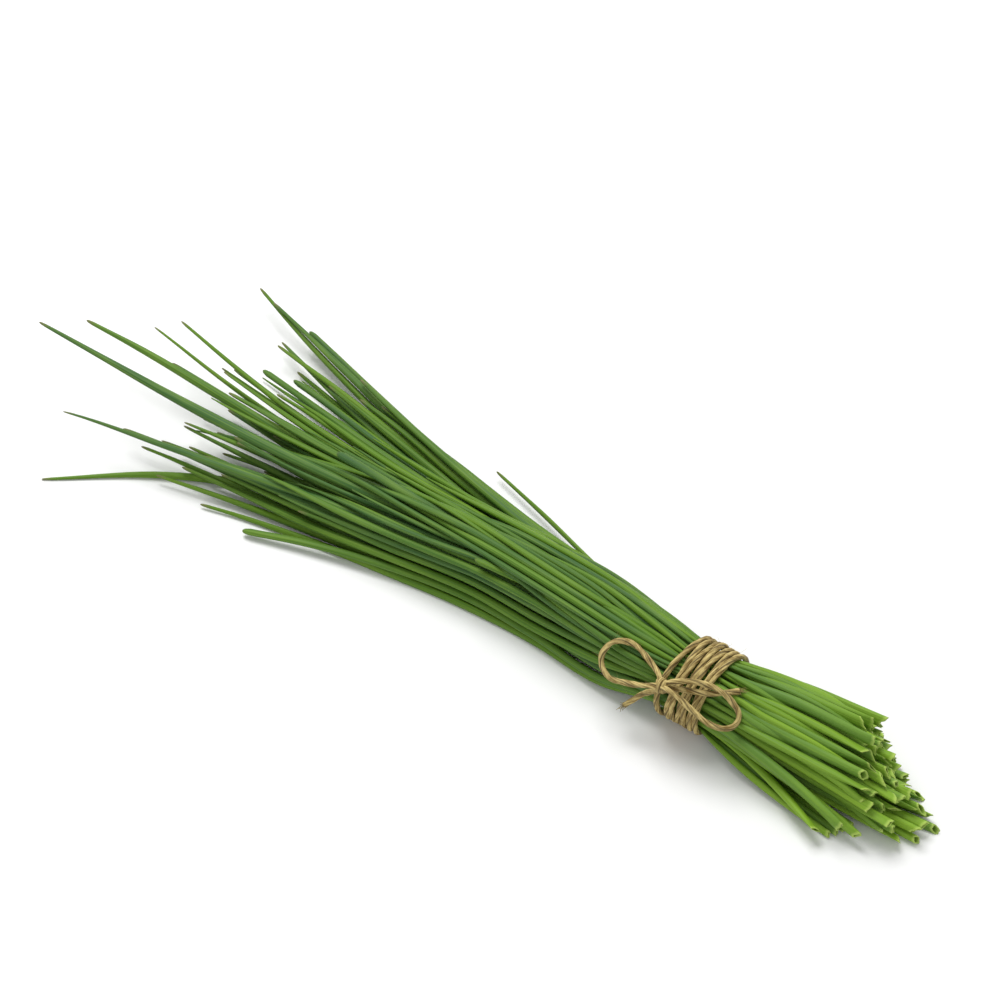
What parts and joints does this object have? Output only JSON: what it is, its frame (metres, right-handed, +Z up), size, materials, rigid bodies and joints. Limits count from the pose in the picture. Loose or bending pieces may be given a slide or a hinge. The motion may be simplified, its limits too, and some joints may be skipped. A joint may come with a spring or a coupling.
{
  "type": "chive bunch",
  "caption": "Bunch of fresh chives lying down: long hollow tapering leaves, cut aslant at one end and fanned out at the other, tied near the cut ends with jute twine and a bow.",
  "frame": {"origin": "middle of the bunch's bounding box, at the height of the table it lies on", "axes": "+X along the bunch from its tips to its cut ends, +Z up from the table, +Y towards the side away from the bow"},
  "size_m": [0.2756, 0.086, 0.0246],
  "materials": {
    "leaf": "waxy leaf, satin",
    "twine": "rough twisted jute"
  },
  "bodies": {
    "root": {"chive_leaf_01": "leaf", "chive_leaf_02": "leaf", "chive_leaf_03": "leaf", "chive_leaf_04": "leaf", "chive_leaf_05": "leaf", "chive_leaf_06": "leaf", "chive_leaf_07": "leaf", "chive_leaf_08": "leaf", "chive_leaf_09": "leaf", "chive_leaf_10": "leaf", "chive_leaf_11": "leaf", "chive_leaf_12": "leaf", "chive_leaf_13": "leaf", "chive_leaf_14": "leaf", "chive_leaf_15": "leaf", "chive_leaf_16": "leaf", "chive_leaf_17": "leaf", "chive_leaf_18": "leaf", "chive_leaf_19": "leaf", "chive_leaf_20": "leaf", "chive_leaf_21": "leaf", "chive_leaf_22": "leaf", "chive_leaf_23": "leaf", "chive_leaf_24": "leaf", "chive_leaf_25": "leaf", "chive_leaf_26": "leaf", "chive_leaf_27": "leaf", "chive_leaf_28": "leaf", "chive_leaf_29": "leaf", "chive_leaf_30": "leaf", "chive_leaf_31": "leaf", "chive_leaf_32": "leaf", "chive_leaf_33": "leaf", "chive_leaf_34": "leaf", "chive_leaf_35": "leaf", "chive_leaf_36": "leaf", "chive_leaf_37": "leaf", "chive_leaf_38": "leaf", "chive_leaf_39": "leaf", "chive_leaf_40": "leaf", "chive_leaf_41": "leaf", "chive_leaf_42": "leaf", "chive_leaf_43": "leaf", "chive_leaf_44": "leaf", "chive_leaf_45": "leaf", "chive_leaf_46": "leaf", "chive_leaf_47": "leaf", "chive_leaf_48": "leaf", "chive_leaf_49": "leaf", "chive_leaf_50": "leaf", "chive_leaf_51": "leaf", "chive_leaf_52": "leaf", "chive_leaf_53": "leaf", "chive_leaf_54": "leaf", "twine_wrap": "twine", "bow_knot": "twine", "bow_loop_left": "twine", "bow_tail_left": "twine", "bow_loop_right": "twine", "bow_tail_right": "twine"}
  },
  "joints": []
}
